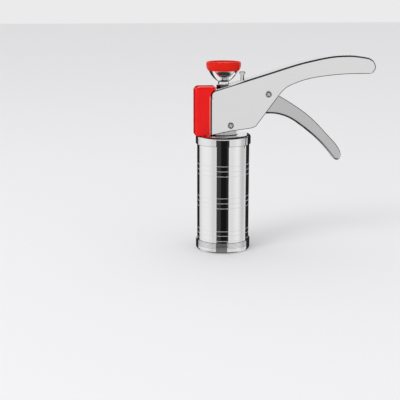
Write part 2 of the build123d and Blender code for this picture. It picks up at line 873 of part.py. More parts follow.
return_low = shelf_top + touch_gap + return_spring_wire / 2
return_high = drive_plate_bottom - seat_gap - return_spring_wire / 2
with BuildPart() as return_spring:
    with BuildLine() as return_path:
        coil_arcs(return_spring_radius, return_low, return_high, return_spring_turns)
    return_wire = return_path.wire()
    with BuildSketch(Plane(origin=return_wire @ 0, z_dir=return_wire % 0)):
        Circle(return_spring_wire / 2)
    sweep(path=return_wire)
return_spring.part.label = "return_spring"

# ---- catch plate and its spring --------------------------------------------------------
tilt = math.radians(catch_tilt)
catch_plane = Plane(
    origin=(catch_x, 0, catch_z),
    x_dir=(math.cos(tilt), 0, math.sin(tilt)),
    z_dir=(-math.sin(tilt), 0, math.cos(tilt)),
)
rod_reach = -catch_x / math.cos(tilt)
catch_front = bracket_sheet / 2 + 2.0
catch_wide_end = rod_reach + rod_radius + 4.5
catch_length = pin_x - catch_x + 3.0

with BuildPart() as catch_plate:
    with BuildSketch(catch_plane.offset(-catch_plate_thickness / 2)):
        with Locations((-catch_front, 0)):
            Rectangle(
                catch_length + catch_front, catch_tail_width, align=(Align.MIN, Align.CENTER)
            )
        with Locations((bracket_sheet / 2 + 2 * seat_gap, 0)):
            Rectangle(
                catch_wide_end - bracket_sheet / 2 - 2 * seat_gap,
                2 * catch_half,
                align=(Align.MIN, Align.CENTER),
            )
        fillet(vertices().group_by(Axis.X)[-1], 1.5)
        with Locations((rod_reach, 0)):
            Circle(catch_hole_radius, mode=Mode.SUBTRACT)
    extrude(amount=catch_plate_thickness)
catch_plate.part.label = "catch_plate"

catch_low = guide_nut_top + touch_gap + catch_spring_wire / 2
catch_high = (
    catch_z
    + (-catch_spring_radius - catch_x) * math.tan(tilt)
    - catch_plate_thickness / 2
    - seat_gap
    - catch_spring_wire
)
with BuildPart() as catch_spring:
    with BuildLine() as catch_path:
        coil_arcs(catch_spring_radius, catch_low, catch_high, catch_spring_turns)
    catch_wire = catch_path.wire()
    with BuildSketch(Plane(origin=catch_wire @ 0, z_dir=catch_wire % 0)):
        Circle(catch_spring_wire / 2)
    sweep(path=catch_wire)
catch_spring.part.label = "catch_spring"

# ---- release pin -----------------------------------------------------------------------
pin_bottom = (
    catch_z
    + (pin_x + pin_radius - catch_x) * math.tan(tilt)
    + catch_plate_thickness / 2 / math.cos(tilt)
    + seat_gap
)
pin_head_bottom = web_z(pin_x) + pin_head_rise
collar_bottom = pin_guide_bottom - seat_gap - pin_collar_height

with BuildPart() as release_pin:
    with BuildSketch(Plane.XY.offset(pin_bottom)):
        with Locations((pin_x, 0)):
            Circle(pin_radius)
    extrude(amount=pin_head_bottom - pin_bottom)
    with BuildSketch(Plane.XY.offset(pin_head_bottom)):
        with Locations((pin_x, 0)):
            Circle(pin_head_radius)
    extrude(amount=pin_head_height)
    fillet(release_pin.edges().group_by(Axis.Z)[-1], pin_head_height / 3)
    with BuildSketch(Plane.XY.offset(collar_bottom)):
        with Locations((pin_x, 0)):
            Circle(pin_collar_radius)
    extrude(amount=pin_collar_height)
release_pin.part.label = "release_pin"

# ---- nose cover ------------------------------------------------------------------------
nose_top = web_z(0) + nose_top_rise
nose_bottom = cap_top + nose_lift

with BuildSketch(side_plane) as body_clearance:
    with BuildLine():
        Polyline(
            (body_front - nose_gap, nose_bottom - 1),
            front_corner(-nose_gap),
            (pin_x, web_z(pin_x, -nose_gap)),
            (pin_x, nose_bottom - 1),
            close=True,
        )
    make_face()
    fillet(
        vertices().sort_by_distance(front_corner(-nose_gap))[0],
        front_corner_round + nose_gap,
    )

with BuildPart() as nose_cover:
    with BuildSketch(side_plane):
        with BuildLine():
            Polyline(
                (nose_front, nose_bottom),
                (nose_front, nose_top),
                (nose_top_rear, nose_top),
                (nose_top_rear, nose_bottom),
                close=True,
            )
        make_face()
        fillet(vertices().sort_by_distance((nose_front, nose_top))[0], nose_round)
    extrude(amount=nose_half, both=True)
    rounded = [
        edge
        for side in (-1, 1)
        for edge in nose_cover.edges().filter_by(
            lambda e, s=side: abs(e.center().Y - s * nose_half) < 0.01
            and e.center().X < nose_top_rear - 1
            and e.center().Z > nose_bottom + 1
        )
    ]
    fillet(rounded, nose_edge_round)
    with BuildSketch(side_plane):
        with BuildLine():
            Polyline(
                (nose_front + nose_wall, nose_bottom - 1),
                (nose_front + nose_wall, nose_top - nose_wall),
                (nose_top_rear + 1, nose_top - nose_wall),
                (nose_top_rear + 1, nose_bottom - 1),
                close=True,
            )
        make_face()
        fillet(
            vertices().sort_by_distance((nose_front + nose_wall, nose_top - nose_wall))[0],
            nose_round - nose_wall,
        )
    extrude(amount=nose_half - nose_wall, both=True, mode=Mode.SUBTRACT)
    with BuildSketch(side_plane):
        add(body_clearance.sketch_local)
    extrude(amount=2 * nose_half, both=True, mode=Mode.SUBTRACT)
    tongue_z = (front_bottom[1] + front_top[1] - front_corner_round) / 2
    for side in (-1, 1):
        tongue_plane = side_plane.offset(side * (channel_half - touch_gap))
        with BuildSketch(tongue_plane):
            with Locations(((tongue_rear + nose_front + 3 * nose_wall) / 2, tongue_z)):
                Rectangle(tongue_rear - nose_front - 3 * nose_wall, tongue_height)
        extrude(amount=-side * tongue_thickness)
        rib_plane = side_plane.offset(side * (nose_half - nose_wall / 2))
        with BuildSketch(rib_plane):
            with Locations((nose_front + 6 * nose_wall, tongue_z)):
                Rectangle(3 * nose_wall, tongue_height)
        extrude(amount=-side * (nose_wall + touch_gap))
nose_cover.part.label = "nose_cover"

# ---- write every piece -----------------------------------------------------------------
pieces = [
    barrel,
    bottom_cap,
    sevai_disc,
    head_cap,
    lower_guide_bush,
    guide_nut,
    plunger_rod,
    piston,
    piston_ring,
    piston_screw,
    knob_cup,
    knob_cap,
    body_shell,
    upper_guide_bush,
    pin_guide,
    cap_bracket,
    trigger,
    pivot_sleeve,
    pivot_spacers,
    pivot_screw,
    pivot_nut,
    bracket_screws,
    drive_plate,
    return_spring,
    catch_plate,
    catch_spring,
    release_pin,
    nose_cover,
]
for piece in pieces:
    export_step(piece.part, f"parts/{piece.part.label}.step")

plunger_travel = cap_inside - seat_gap - piston_top
squeeze = math.asin((nose[1] - pivot_z) / math.hypot(nose_x - pivot_x, nose[1] - pivot_z))
nose_reach = math.hypot(nose_x - pivot_x, nose[1] - pivot_z)
squeeze_end = math.asin((nose[1] - drive_travel - pivot_z) / nose_reach)
print("pivot", pivot, "plunger travel", plunger_travel, "drive travel", drive_travel)
print("trigger squeeze, degrees", math.degrees(squeeze - squeeze_end))
print("catch hinge", catch_x, catch_z, "shelf top", shelf_top, "guide nut top", guide_nut_top)
print(
    "least coil gaps",
    least_coil_gap(return_wire, return_spring_wire, return_spring_turns),
    least_coil_gap(catch_wire, catch_spring_wire, catch_spring_turns),
)
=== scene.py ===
import math

import bmesh
import bpy
from mathutils import Matrix, Vector
from mathutils.geometry import interpolate_bezier


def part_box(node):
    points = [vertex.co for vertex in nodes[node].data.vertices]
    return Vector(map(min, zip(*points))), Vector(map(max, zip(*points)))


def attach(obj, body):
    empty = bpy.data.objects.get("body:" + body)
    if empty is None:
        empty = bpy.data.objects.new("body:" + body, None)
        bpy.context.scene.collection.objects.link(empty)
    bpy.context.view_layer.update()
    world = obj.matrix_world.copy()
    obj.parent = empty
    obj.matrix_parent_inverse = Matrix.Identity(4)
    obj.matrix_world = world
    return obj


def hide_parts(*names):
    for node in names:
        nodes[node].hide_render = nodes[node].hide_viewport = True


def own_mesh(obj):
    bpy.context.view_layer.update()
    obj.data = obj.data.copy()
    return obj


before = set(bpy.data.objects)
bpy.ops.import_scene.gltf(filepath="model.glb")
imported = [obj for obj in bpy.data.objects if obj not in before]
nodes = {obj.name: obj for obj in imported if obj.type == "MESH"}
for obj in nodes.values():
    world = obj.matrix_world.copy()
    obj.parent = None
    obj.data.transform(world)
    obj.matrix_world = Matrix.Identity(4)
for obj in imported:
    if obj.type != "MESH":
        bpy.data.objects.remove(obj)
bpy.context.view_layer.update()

# The barrel: a length of polished stainless tube, 52 mm across, in which the piston
# runs. Three groups of fine rings are engraved round it, and both ends are screwed
# into caps.
mm = 0.001
barrel_radius = 26.0
barrel_wall = 1.0
barrel_foot = 2.85
barrel_top = 114.85
ring_heights = (12.6, 17.9, 22.5, 45.8, 50.9, 55.9, 77.9, 82.9, 87.9)
ring_half = 0.2
ring_depth = 0.1
ring_flank_half = 0.09
ring_flank_depth = 0.07
fine_steps = 160


def finish_mesh(bm, name, crisp=30):
    """Finish a bmesh as a smooth-shaded object whose sharp edges stay crisp."""
    bmesh.ops.recalc_face_normals(bm, faces=bm.faces)
    mesh = bpy.data.meshes.new(name)
    bm.to_mesh(mesh)
    bm.free()
    mesh.shade_smooth()
    mesh.set_sharp_from_angle(angle=math.radians(crisp))
    piece = bpy.data.objects.new(name, mesh)
    bpy.context.scene.collection.objects.link(piece)
    return piece


def keep_faces_flat(piece):
    """Let the large faces set the shading, so that a small round doesn't tint them."""
    flat = piece.modifiers.new("flat faces", "WEIGHTED_NORMAL")
    flat.keep_sharp = True


def turn_on_lathe(name, profile, steps, soften=0.0, closed=True):
    """Spin a half profile (radius, height in mm) round an upright axis."""
    bm = bmesh.new()
    spots = [bm.verts.new((r * mm, 0.0, z * mm)) for r, z in profile]
    pairs = list(zip(spots, spots[1:]))
    if closed:
        pairs.append((spots[-1], spots[0]))
    for a, b in pairs:
        bm.edges.new((a, b))
    if soften:
        off_axis = 0.2 * mm
        sharp_turn = math.radians(35)
        corners = [v for v in bm.verts if len(v.link_edges) == 2 and v.co.x > off_axis]
        sharp = [v for v in corners if v.calc_edge_angle(0) > sharp_turn]
        bmesh.ops.bevel(
            bm,
            geom=sharp,
            offset=soften * mm,
            offset_type="OFFSET",
            segments=3,
            profile=0.5,
            affect="VERTICES",
            material=-1,
        )
    bmesh.ops.spin(
        bm,
        geom=bm.verts[:] + bm.edges[:],
        cent=(0, 0, 0),
        axis=(0, 0, 1),
        angle=math.tau,
        steps=steps,
        use_merge=True,
    )
    bmesh.ops.remove_doubles(bm, verts=bm.verts, dist=1e-6)
    piece = finish_mesh(bm, name)
    keep_faces_flat(piece)
    return piece


def spread_value(tree, source, ends, results=(0.0, 1.0)):
    """Stretch a value between two ends to two results, and hold it there outside them."""
    spread = tree.nodes.new("ShaderNodeMapRange")
    spread.inputs["From Min"].default_value, spread.inputs["From Max"].default_value = ends
    spread.inputs["To Min"].default_value, spread.inputs["To Max"].default_value = results
    tree.links.new(source, spread.inputs["Value"])
    return spread.outputs["Result"]


def lay_ramp(tree, source, stops):
    """Turn a value from 0 to 1 into colours, or greys where a stop has one number."""
    ramp = tree.nodes.new("ShaderNodeValToRGB")
    tree.links.new(source, ramp.inputs["Fac"])
    marks = ramp.color_ramp.elements
    while len(marks) < len(stops):
        marks.new(0.5)
    for mark, (place, *colour) in zip(marks, stops):
        mark.position = place
        mark.color = (*(colour * 3)[:3], 1)
    return ramp.outputs["Color"]


def cloud_on(tree, place, scale, detail, roughness=0.5):
    """A cloudy pattern that sits still on the piece."""
    cloud = tree.nodes.new("ShaderNodeTexNoise")
    cloud.inputs["Scale"].default_value = scale
    cloud.inputs["Detail"].default_value = detail
    cloud.inputs["Roughness"].default_value = roughness
    tree.links.new(place, cloud.inputs["Vector"])
    return cloud.outputs["Fac"]


def press_relief(tree, skin, height, strength, depth):
    """Let a pattern stand out of the surface a little."""
    relief = tree.nodes.new("ShaderNodeBump")
    relief.inputs["Strength"].default_value = strength
    relief.inputs["Distance"].default_value = depth
    tree.links.new(height, relief.inputs["Height"])
    tree.links.new(relief.outputs["Normal"], skin.inputs["Normal"])


def polished_steel(name, tone, shine, grain_axes, grain=0.05):
    """Stainless steel with a fine grain along one way and faint smudges in its gloss."""
    steel = bpy.data.materials.new(name)
    steel.use_nodes = True
    tree = steel.node_tree
    link = tree.links.new
    skin = tree.nodes["Principled BSDF"]
    skin.inputs["Metallic"].default_value = 1.0

    place = tree.nodes.new("ShaderNodeTexCoord")
    stretch = tree.nodes.new("ShaderNodeMapping")
    stretch.inputs["Scale"].default_value = grain_axes
    link(place.outputs["Object"], stretch.inputs["Vector"])
    lines = cloud_on(tree, stretch.outputs["Vector"], scale=260.0, detail=6.0, roughness=0.65)
    smudges = cloud_on(tree, place.outputs["Object"], scale=55.0, detail=4.0)
    gloss = spread_value(tree, smudges, (0.3, 0.75), (shine * 0.9, shine * 1.12))
    link(gloss, skin.inputs["Roughness"])

    grey = spread_value(tree, lines, (0.25, 0.75), (tone * 0.98, tone * 1.015))
    colour = tree.nodes.new("ShaderNodeCombineColor")
    link(grey, colour.inputs["Red"])
    link(grey, colour.inputs["Green"])
    blue = tree.nodes.new("ShaderNodeMath")
    blue.operation = "MULTIPLY"
    blue.inputs[1].default_value = 1.01
    link(grey, blue.inputs[0])
    link(blue.outputs["Value"], colour.inputs["Blue"])
    link(colour.outputs["Color"], skin.inputs["Base Color"])
    press_relief(tree, skin, lines, strength=grain, depth=0.2 * mm)
    return steel


def dress(names, metal):
    """Give parts that keep their plain shape a finish."""
    for name in names:
        nodes[name].data.materials.clear()
        nodes[name].data.materials.append(metal)


outer_wall = [(barrel_radius, barrel_foot)]
for height in ring_heights:
    outer_wall += [
        (barrel_radius, height - ring_half),
        (barrel_radius - ring_flank_depth, height - ring_flank_half),
        (barrel_radius - ring_depth, height),
        (barrel_radius - ring_flank_depth, height + ring_flank_half),
        (barrel_radius, height + ring_half),
    ]
outer_wall.append((barrel_radius, barrel_top))
bore_radius = barrel_radius - barrel_wall
inner_wall = [(bore_radius, barrel_top), (bore_radius, barrel_foot)]
barrel_tube = turn_on_lathe("barrel_tube", outer_wall + inner_wall, steps=fine_steps)
tube_steel = polished_steel("polished tube steel", 0.88, 0.07, (0.25, 0.25, 6.0), grain=0.01)
barrel_tube.data.materials.append(tube_steel)
etched_steel = polished_steel("etched ring steel", 0.86, 0.55, (1.0, 1.0, 1.0), grain=0.05)
etched_steel.node_tree.nodes["Principled BSDF"].inputs["Metallic"].default_value = 0.35
barrel_tube.data.materials.append(etched_steel)
groove_floor, groove_edge = barrel_radius - ring_depth, barrel_radius - ring_depth * 0.3
for face in barrel_tube.data.polygons:
    reach = math.hypot(face.center.x, face.center.y)
    if groove_floor * mm < reach < groove_edge * mm:
        face.material_index = 1
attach(barrel_tube, "barrel")
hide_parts("barrel")

# The bottom cap: a turned ring with an inward lip that screws on the barrel's foot and
# clamps the disc. Its lower edge is rounded, and four fine grooves grip the fingers.
cap_radius = 27.26
cap_height = 10.6
cap_round = 2.5
cap_bevel = 0.35
lip = 1.6
mouth = 23.0
thread_radius = 26.06
grip_grooves = 4
grip_pitch = 1.3
grip_depth = 0.3
round_steps = 6

cap_wall = [(mouth, 0.0), (cap_radius - cap_round, 0.0)]
for step in range(1, round_steps + 1):
    swing = math.radians(90 * step / round_steps)
    cap_wall.append(
        (
            cap_radius - cap_round + cap_round * math.sin(swing),
            cap_round - cap_round * math.cos(swing),
        )
    )
for groove in range(grip_grooves, 0, -1):
    height = cap_height - groove * grip_pitch
    cap_wall += [
        (cap_radius, height - grip_depth),
        (cap_radius - grip_depth, height),
        (cap_radius, height + grip_depth),
    ]
cap_wall += [
    (cap_radius, cap_height - cap_bevel),
    (cap_radius - cap_bevel, cap_height),
    (thread_radius, cap_height),
    (thread_radius, lip),
    (mouth, lip),
]
ring_cap = turn_on_lathe("bottom_ring_cap", cap_wall, steps=fine_steps)
cap_steel = polished_steel("polished cap steel", 0.84, 0.10, (0.25, 0.25, 5.0), grain=0.02)
ring_cap.data.materials.append(cap_steel)
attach(ring_cap, "bottom_cap")
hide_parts("bottom_cap")

# The sevai disc: a flat plate with rings of small round holes that rests on the cap's
# lip. It is punched from sheet, so its face is satin.
disc_steel = polished_steel("satin disc steel", 0.72, 0.32, (1.0, 5.0, 1.0), grain=0.08)
dress(["sevai_disc"], disc_steel)

# The head cap: drawn from sheet, with a rolled shoulder and a raised middle. The barrel
# screws up into its skirt.
head_radius = 27.36
skirt_foot = 107.35
head_flat = 116.45
head_sheet = 1.3
head_round = 2.4
skirt_bevel = 0.3
step_radius = 14.0
step_rise = 0.8
bush_hole = 5.0

head_wall = [
    (thread_radius, skirt_foot),
    (head_radius - skirt_bevel, skirt_foot),
    (head_radius, skirt_foot + skirt_bevel),
]
for step in range(round_steps + 1):
    swing = math.radians(90 * step / round_steps)
    head_wall.append(
        (
            head_radius + head_round * (math.cos(swing) - 1),
            head_flat + head_round * (math.sin(swing) - 1),
        )
    )
head_wall += [
    (step_radius + step_rise + 0.5, head_flat),
    (step_radius + step_rise - 0.1, head_flat + 0.15),
    (step_radius + 0.2, head_flat + step_rise - 0.15),
    (step_radius - 0.5, head_flat + step_rise),
    (bush_hole, head_flat + step_rise),
    (bush_hole, head_flat - head_sheet + step_rise),
    (step_radius - step_rise, head_flat - head_sheet + step_rise),
    (step_radius, head_flat - head_sheet),
    (thread_radius, head_flat - head_sheet),
]
drawn_cap = turn_on_lathe("drawn_head_cap", head_wall, steps=fine_steps)
drawn_cap.data.materials.append(cap_steel)
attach(drawn_cap, "press_body")
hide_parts("head_cap")

# The parts that clamp the head cap to the body, the two jam plates and the piston: the
# bracket and plates are satin, the bush and its nut are painted near black for the shade
# seen through the gap under the body, the small pins and the nut of the pivot are turned
# bright.
bracket_steel = polished_steel("satin bracket steel", 0.66, 0.36, (4.0, 1.0, 1.0), grain=0.08)
dress(["cap_bracket", "drive_plate", "catch_plate", "piston"], bracket_steel)
# Painted shade: tone 0.10 makes the bush and nut read as the dark gap under the body.
shade_dark_clamp_steel = polished_steel("clamp steel with painted shade", 0.10, 0.3, (4.0, 1.0, 1.0), grain=0.08)
dress(["lower_guide_bush", "guide_nut"], shade_dark_clamp_steel)
turned_steel = polished_steel("turned steel", 0.74, 0.2, (1.0, 1.0, 6.0), grain=0.05)
dress(["pin_guide", "piston_screw", "pivot_sleeve", "pivot_spacers", "pivot_nut"], turned_steel)

# The plunger rod and the collar in the body's web through which it runs: both are ground
# steel, painted near black to stand for the dark reflections round the knob's neck.
# Painted reflection: tone 0.10 gives the neck the dark look of what it mirrors.
dark_reflection_rod_steel = polished_steel("rod steel with painted dark reflection", 0.10, 0.12, (1.0, 1.0, 6.0), grain=0.03)
dress(["plunger_rod", "upper_guide_bush"], dark_reflection_rod_steel)

# The springs: drawn steel wire, left grey. The return spring is wound round the rod.
wire_steel = polished_steel("drawn spring wire", 0.5, 0.3, (1.0, 1.0, 1.0), grain=0.1)
dress(["catch_spring"], wire_steel)
spring_low, spring_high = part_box("return_spring")
spring_length = spring_high[2] - spring_low[2]
spring_wire = 1.2
spring_middle = 6.4
spring_turns = 5
wire_sides = 12
turn_steps = 40

coil_bm = bmesh.new()
wire_ring = bmesh.ops.create_circle(coil_bm, segments=wire_sides, radius=spring_wire / 2 * mm)
upright = Matrix.Rotation(math.radians(90), 3, "X")
bmesh.ops.rotate(coil_bm, verts=wire_ring["verts"], cent=(0, 0, 0), matrix=upright)
bmesh.ops.translate(
    coil_bm,
    verts=wire_ring["verts"],
    vec=(spring_middle * mm, 0, spring_low[2] + spring_wire / 2 * mm),
)
coil_steps = spring_turns * turn_steps
bmesh.ops.spin(
    coil_bm,
    geom=coil_bm.verts[:] + coil_bm.edges[:],
    cent=(0, 0, 0),
    axis=(0, 0, 1),
    dvec=(0, 0, (spring_length - spring_wire * mm) / coil_steps),
    angle=math.tau * spring_turns,
    steps=coil_steps,
    use_merge=False,
)
wire_ends = [edge for edge in coil_bm.edges if edge.is_boundary]
bmesh.ops.holes_fill(coil_bm, edges=wire_ends, sides=wire_sides)
coil = finish_mesh(coil_bm, "wound_return_spring", crisp=60)
coil.data.materials.append(wire_steel)
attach(coil, "press_body")
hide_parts("return_spring")
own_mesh(coil)

# The piston's ring: natural nylon, turned to seal against the bore. It sits in a groove
# round the piston.
nylon = bpy.data.materials.new("natural nylon")
nylon.use_nodes = True
nylon_skin = nylon.node_tree.nodes["Principled BSDF"]
nylon_skin.inputs["Roughness"].default_value = 0.5
nylon_place = nylon.node_tree.nodes.new("ShaderNodeTexCoord")
nylon_cloud = cloud_on(nylon.node_tree, nylon_place.outputs["Object"], scale=140.0, detail=2.0)
nylon_tint = lay_ramp(
    nylon.node_tree, nylon_cloud, [(0.0, 0.70, 0.68, 0.62), (1.0, 0.80, 0.79, 0.74)]
)
nylon.node_tree.links.new(nylon_tint, nylon_skin.inputs["Base Color"])
dress(["piston_ring"], nylon)

# The body: one blank of stainless sheet, folded to a channel that runs back as the
# handle. Its fold is a soft bend, its longer cut edges and the sheet's rim carry a painted
# dark outline, its inside is rough steel painted dark for shade, and holes are cut
# for the rod, the release pin and the screws.
body_half = 11.0
body_sheet = 1.0
body_bend = 2.0
body_front = -13.3
body_lift = 114.45
painted_outline_width = 0.6
shortest_outlined_edge = 3.0


def side_curve(points, start_way, end_way, steps=6):
    """A smooth line through points of a side view, from bezier spans with shared slopes."""
    spots = [Vector((x, 0.0, z)) for x, z in points]
    ways = [Vector((start_way[0], 0.0, start_way[1])).normalized()]
    for before, here, after in zip(spots, spots[1:], spots[2:]):
        back, ahead = (here - before).length, (after - here).length
        way = (here - before) * (ahead / back) + (after - here) * (back / ahead)
        ways.append(way.normalized())
    ways.append(Vector((end_way[0], 0.0, end_way[1])).normalized())
    line = []
    for a, b, way_a, way_b in zip(spots, spots[1:], ways, ways[1:]):
        reach = (b - a).length / 3
        count = max(3, round((b - a).length / 30 * steps) + 1)
        span = interpolate_bezier(a, a + way_a * reach, b - way_b * reach, b, count)
        line += [(p.x, p.z) for p in span[:-1]]
    return line + [tuple(points[-1])]


def side_arc(middle, radius, first, last, steps):
    """Points of an arc in the side view, from one angle to another in degrees."""
    return [
        (
            middle[0] + radius * math.cos(math.radians(first + (last - first) * i / steps)),
            middle[1] + radius * math.sin(math.radians(first + (last - first) * i / steps)),
        )
        for i in range(steps + 1)
    ]


def cut_holes(bm, faces, rings):
    """Replace flat faces by one that is pierced along the given rings of points."""
    around = {e for f in faces for e in f.edges}
    shared = [e for e in around if sum(g in faces for g in e.link_faces) > 1]
    rim = [e for e in around if e not in shared]
    normal = faces[0].normal.copy()
    bmesh.ops.delete(bm, geom=faces, context="FACES_ONLY")
    bmesh.ops.delete(bm, geom=shared, context="EDGES")
    for ring in rings:
        spots = [bm.verts.new(spot) for spot in ring]
        rim += [bm.edges.new((a, b)) for a, b in zip(spots, spots[1:] + spots[:1])]
    bmesh.ops.triangle_fill(bm, use_beauty=True, edges=rim, normal=normal)


def ring_of(place, steps=32):
    """Points of a closed ring, from a function that places each angle."""
    return [place(math.tau * i / steps) for i in range(steps)]


def no_holes(bm):
    """Leave the web whole."""


def fold_sheet(name, outline, fold, half, bend, sheet, side_holes, web_holes, bend_steps=6):
    """Fold a channel from sheet: a flat side, its web along the fold, and the mirrored side."""
    bm = bmesh.new()
    spots = [bm.verts.new((x * mm, -half * mm, z * mm)) for x, z in outline]
    bm.faces.new(spots)
    folded = [spots[i] for i in fold]
    edges = [bm.edges.get((a, b)) for a, b in zip(folded, folded[1:])]
    pulled = bmesh.ops.extrude_edge_only(bm, edges=edges)["geom"]
    bmesh.ops.translate(
        bm,
        verts=[v for v in pulled if isinstance(v, bmesh.types.BMVert)],
        vec=(0, half * mm, 0),
    )
    bmesh.ops.bevel(
        bm,
        geom=edges,
        offset=bend * mm,
        offset_type="OFFSET",
        segments=bend_steps,
        profile=0.5,
        affect="EDGES",
        material=-1,
    )
    bm.normal_update()
    side = max(bm.faces, key=lambda face: face.calc_area())
    strip = bmesh.ops.inset_region(
        bm,
        faces=[side],
        thickness=painted_outline_width * mm,
        use_even_offset=True,
        use_boundary=True,
    )["faces"]
    # The inset band along the longer cut edges takes slot 1: a painted dark outline.
    for face in strip:
        cut_edges = [edge for edge in face.edges if edge.is_boundary]
        if any(edge.calc_length() > shortest_outlined_edge * mm for edge in cut_edges):
            face.material_index = 1
    rings = [
        ring_of(
            lambda t, x=x, z=z, r=r: (
                (x + r * math.cos(t)) * mm,
                -half * mm,
                (z + r * math.sin(t)) * mm,
            )
        )
        for x, z, r in side_holes
    ]
    cut_holes(bm, [side], rings)
    bmesh.ops.mirror(
        bm, geom=bm.verts[:] + bm.edges[:] + bm.faces[:], axis="Y", merge_dist=1e-6
    )
    bmesh.ops.remove_doubles(bm, verts=bm.verts, dist=1e-6)
    web_holes(bm)
    piece = finish_mesh(bm, name, crisp=25)
    # The sheet's rim takes slot 1, the painted dark outline, and its inside slot 2, rough steel
    # with painted shade.
    wall = piece.modifiers.new("sheet", "SOLIDIFY")
    wall.thickness = sheet * mm
    wall.offset = -1
    wall.use_even_offset = True
    wall.material_offset_rim = 1
    wall.material_offset = 2
    keep_faces_flat(piece)
    return piece


def rise(x, z):
    """A point of the side view, measured from a level 2 mm under the head cap's top."""
    return (x, body_lift + z)


web_slope = 0.3055
front_round = 6.0
tip_round = 6.2
tip_rear = rise(150.406, 68.377)
front_corner = side_arc((body_front + front_round, 155.49), front_round, 180, 107, 8)
underside = side_curve(
    [
        rise(53.4, 40.5),
        rise(59.8, 47.5),
        rise(74.6, 54.2),
        rise(106.5, 59.9),
        rise(144.3, 61.1),
    ],
    (1, 1.337),
    (1, 0),
)
tip_arc = side_arc(rise(144.3, 67.3), tip_round, -90, 10, 10)
top_line = side_curve(
    [
        tip_rear,
        rise(147.3, 74.1),
        rise(134.0, 78.1),
        rise(114.0, 78.9),
        rise(84.0, 74.1),
        rise(44.7, 62.92),
    ],
    (-0.178, 0.984),
    (-1, -web_slope),
)
lower_edge = [
    (body_front, 116.7),
    rise(6.3, 6.25),
    rise(24.2, 8.4),
    rise(28.0, 9.1),
    rise(31.2, 10.8),
]
fold_foot = 152.65
fold_relief = 0.35
body_side = lower_edge + underside + tip_arc[1:] + top_line[1:] + front_corner[::-1]
body_side.append((body_front, fold_foot))
straight_tip_points = 3
fold_start = len(lower_edge) + len(underside) + straight_tip_points
fold_end = len(body_side) - 1
body_side.append((body_front, fold_foot - fold_relief))
pivot_place = (43.1, 156.4)
screw_place = (5.9, 126.3)
screw_hole = 2.1
rod_hole = (0.0, 5.6)
pin_hole = (18.6, 3.5)
web_foot = 159.65


def pierce_web(bm):
    """Cut the rod's and the release pin's holes in the web's straight part."""
    bm.normal_update()
    straight_start, straight_end = -7.5 * mm, 44.8 * mm
    least_height, least_area = 160 * mm, 200 * mm**2
    web = [
        face
        for face in bm.faces
        if abs(face.normal.y) < 0.01
        and straight_start < face.calc_center_bounds().x < straight_end
        and face.calc_center_bounds().z > least_height
        and face.calc_area() > least_area
    ]
    rings = [
        ring_of(
            lambda t, x=x, r=r: (
                (x + r * math.cos(t)) * mm,
                r * math.sin(t) * mm,
                (web_foot + web_slope * (x + r * math.cos(t) - body_front)) * mm,
            )
        )
        for x, r in (rod_hole, pin_hole)
    ]
    cut_holes(bm, web, rings)


body_piece = fold_sheet(
    "folded_body",
    body_side,
    range(fold_start, fold_end + 1),
    body_half,
    body_bend,
    body_sheet,
    [(*pivot_place, screw_hole), (*screw_place, screw_hole)],
    pierce_web,
)
sheet_steel = polished_steel("buffed sheet steel", 0.86, 0.2, (0.35, 4.0, 4.0), grain=0.005)
# Slot 1, near black: a painted dark outline along the cut edges and round the sheet's rim.
painted_outline_steel = polished_steel("edge steel with painted dark outline", 0.05, 0.4, (4.0, 1.0, 4.0), grain=0.08)
# Slot 2: the inside, rougher, and painted dark for the shade inside the channel.
dull_shaded_inside_steel = polished_steel("dull inside steel with painted shade", 0.12, 0.5, (1.0, 4.0, 4.0), grain=0.05)
for metal in (sheet_steel, painted_outline_steel, dull_shaded_inside_steel):
    body_piece.data.materials.append(metal)
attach(body_piece, "press_body")
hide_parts("body_shell")

# The trigger: a narrower channel folded from 1.2 mm sheet, with its web on the side of
# the fingers. Its cheeks run on inside the body as the arms that push the drive plate.
trigger_half = 7.0
trigger_bend = 3.0
trigger_sheet = 1.2
sleeve_hole = 3.56

finger_side = side_curve(
    [
        rise(42.5, 22.1),
        rise(51.2, 21.9),
        rise(61.0, 19.3),
        rise(80.6, 7.2),
        rise(100.5, -10.7),
        rise(111.9, -24.3),
    ],
    (1, 0.05),
    (0.62, -0.78),
    steps=7,
)
trigger_tip = side_arc((115.18, 92.75), 4.19, -141.5, 10, 12)
handle_side = side_curve(
    [
        (119.3, 93.55),
        rise(116.6, -14.5),
        rise(103.3, 1.3),
        rise(83.4, 20.9),
        rise(63.7, 34.5),
        rise(53.0, 40.9),
    ],
    (-0.35, 1),
    (-1, 0.6),
    steps=7,
)
arms = [
    rise(49.5, 46.0),
    rise(47.5, 48.3),
    rise(44.6, 49.5),
    rise(38.0, 49.95),
    (20.1, 164.1),
    (18.0, 163.2),
    (17.1, 161.1),
    (18.0, 159.0),
    (20.1, 158.1),
    (23.1, 159.0),
    (33.2, 151.4),
    (34.3, 150.4),
    (35.0, 148.9),
    (38.0, 139.4),
]
trigger_side = finger_side + trigger_tip[1:-1] + handle_side + arms
trigger_piece = fold_sheet(
    "folded_trigger",
    trigger_side,
    range(0, len(finger_side) + len(trigger_tip) - 1),
    trigger_half,
    trigger_bend,
    trigger_sheet,
    [(*pivot_place, sleeve_hole)],
    no_holes,
    bend_steps=8,
)
trigger_steel = polished_steel("buffed trigger steel", 0.60, 0.22, (1.5, 4.0, 1.5), grain=0.006)
# The trigger shares the painted dark outline and the painted shade of the inside.
for metal in (trigger_steel, painted_outline_steel, dull_shaded_inside_steel):
    trigger_piece.data.materials.append(metal)
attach(trigger_piece, "trigger")
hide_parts("trigger")

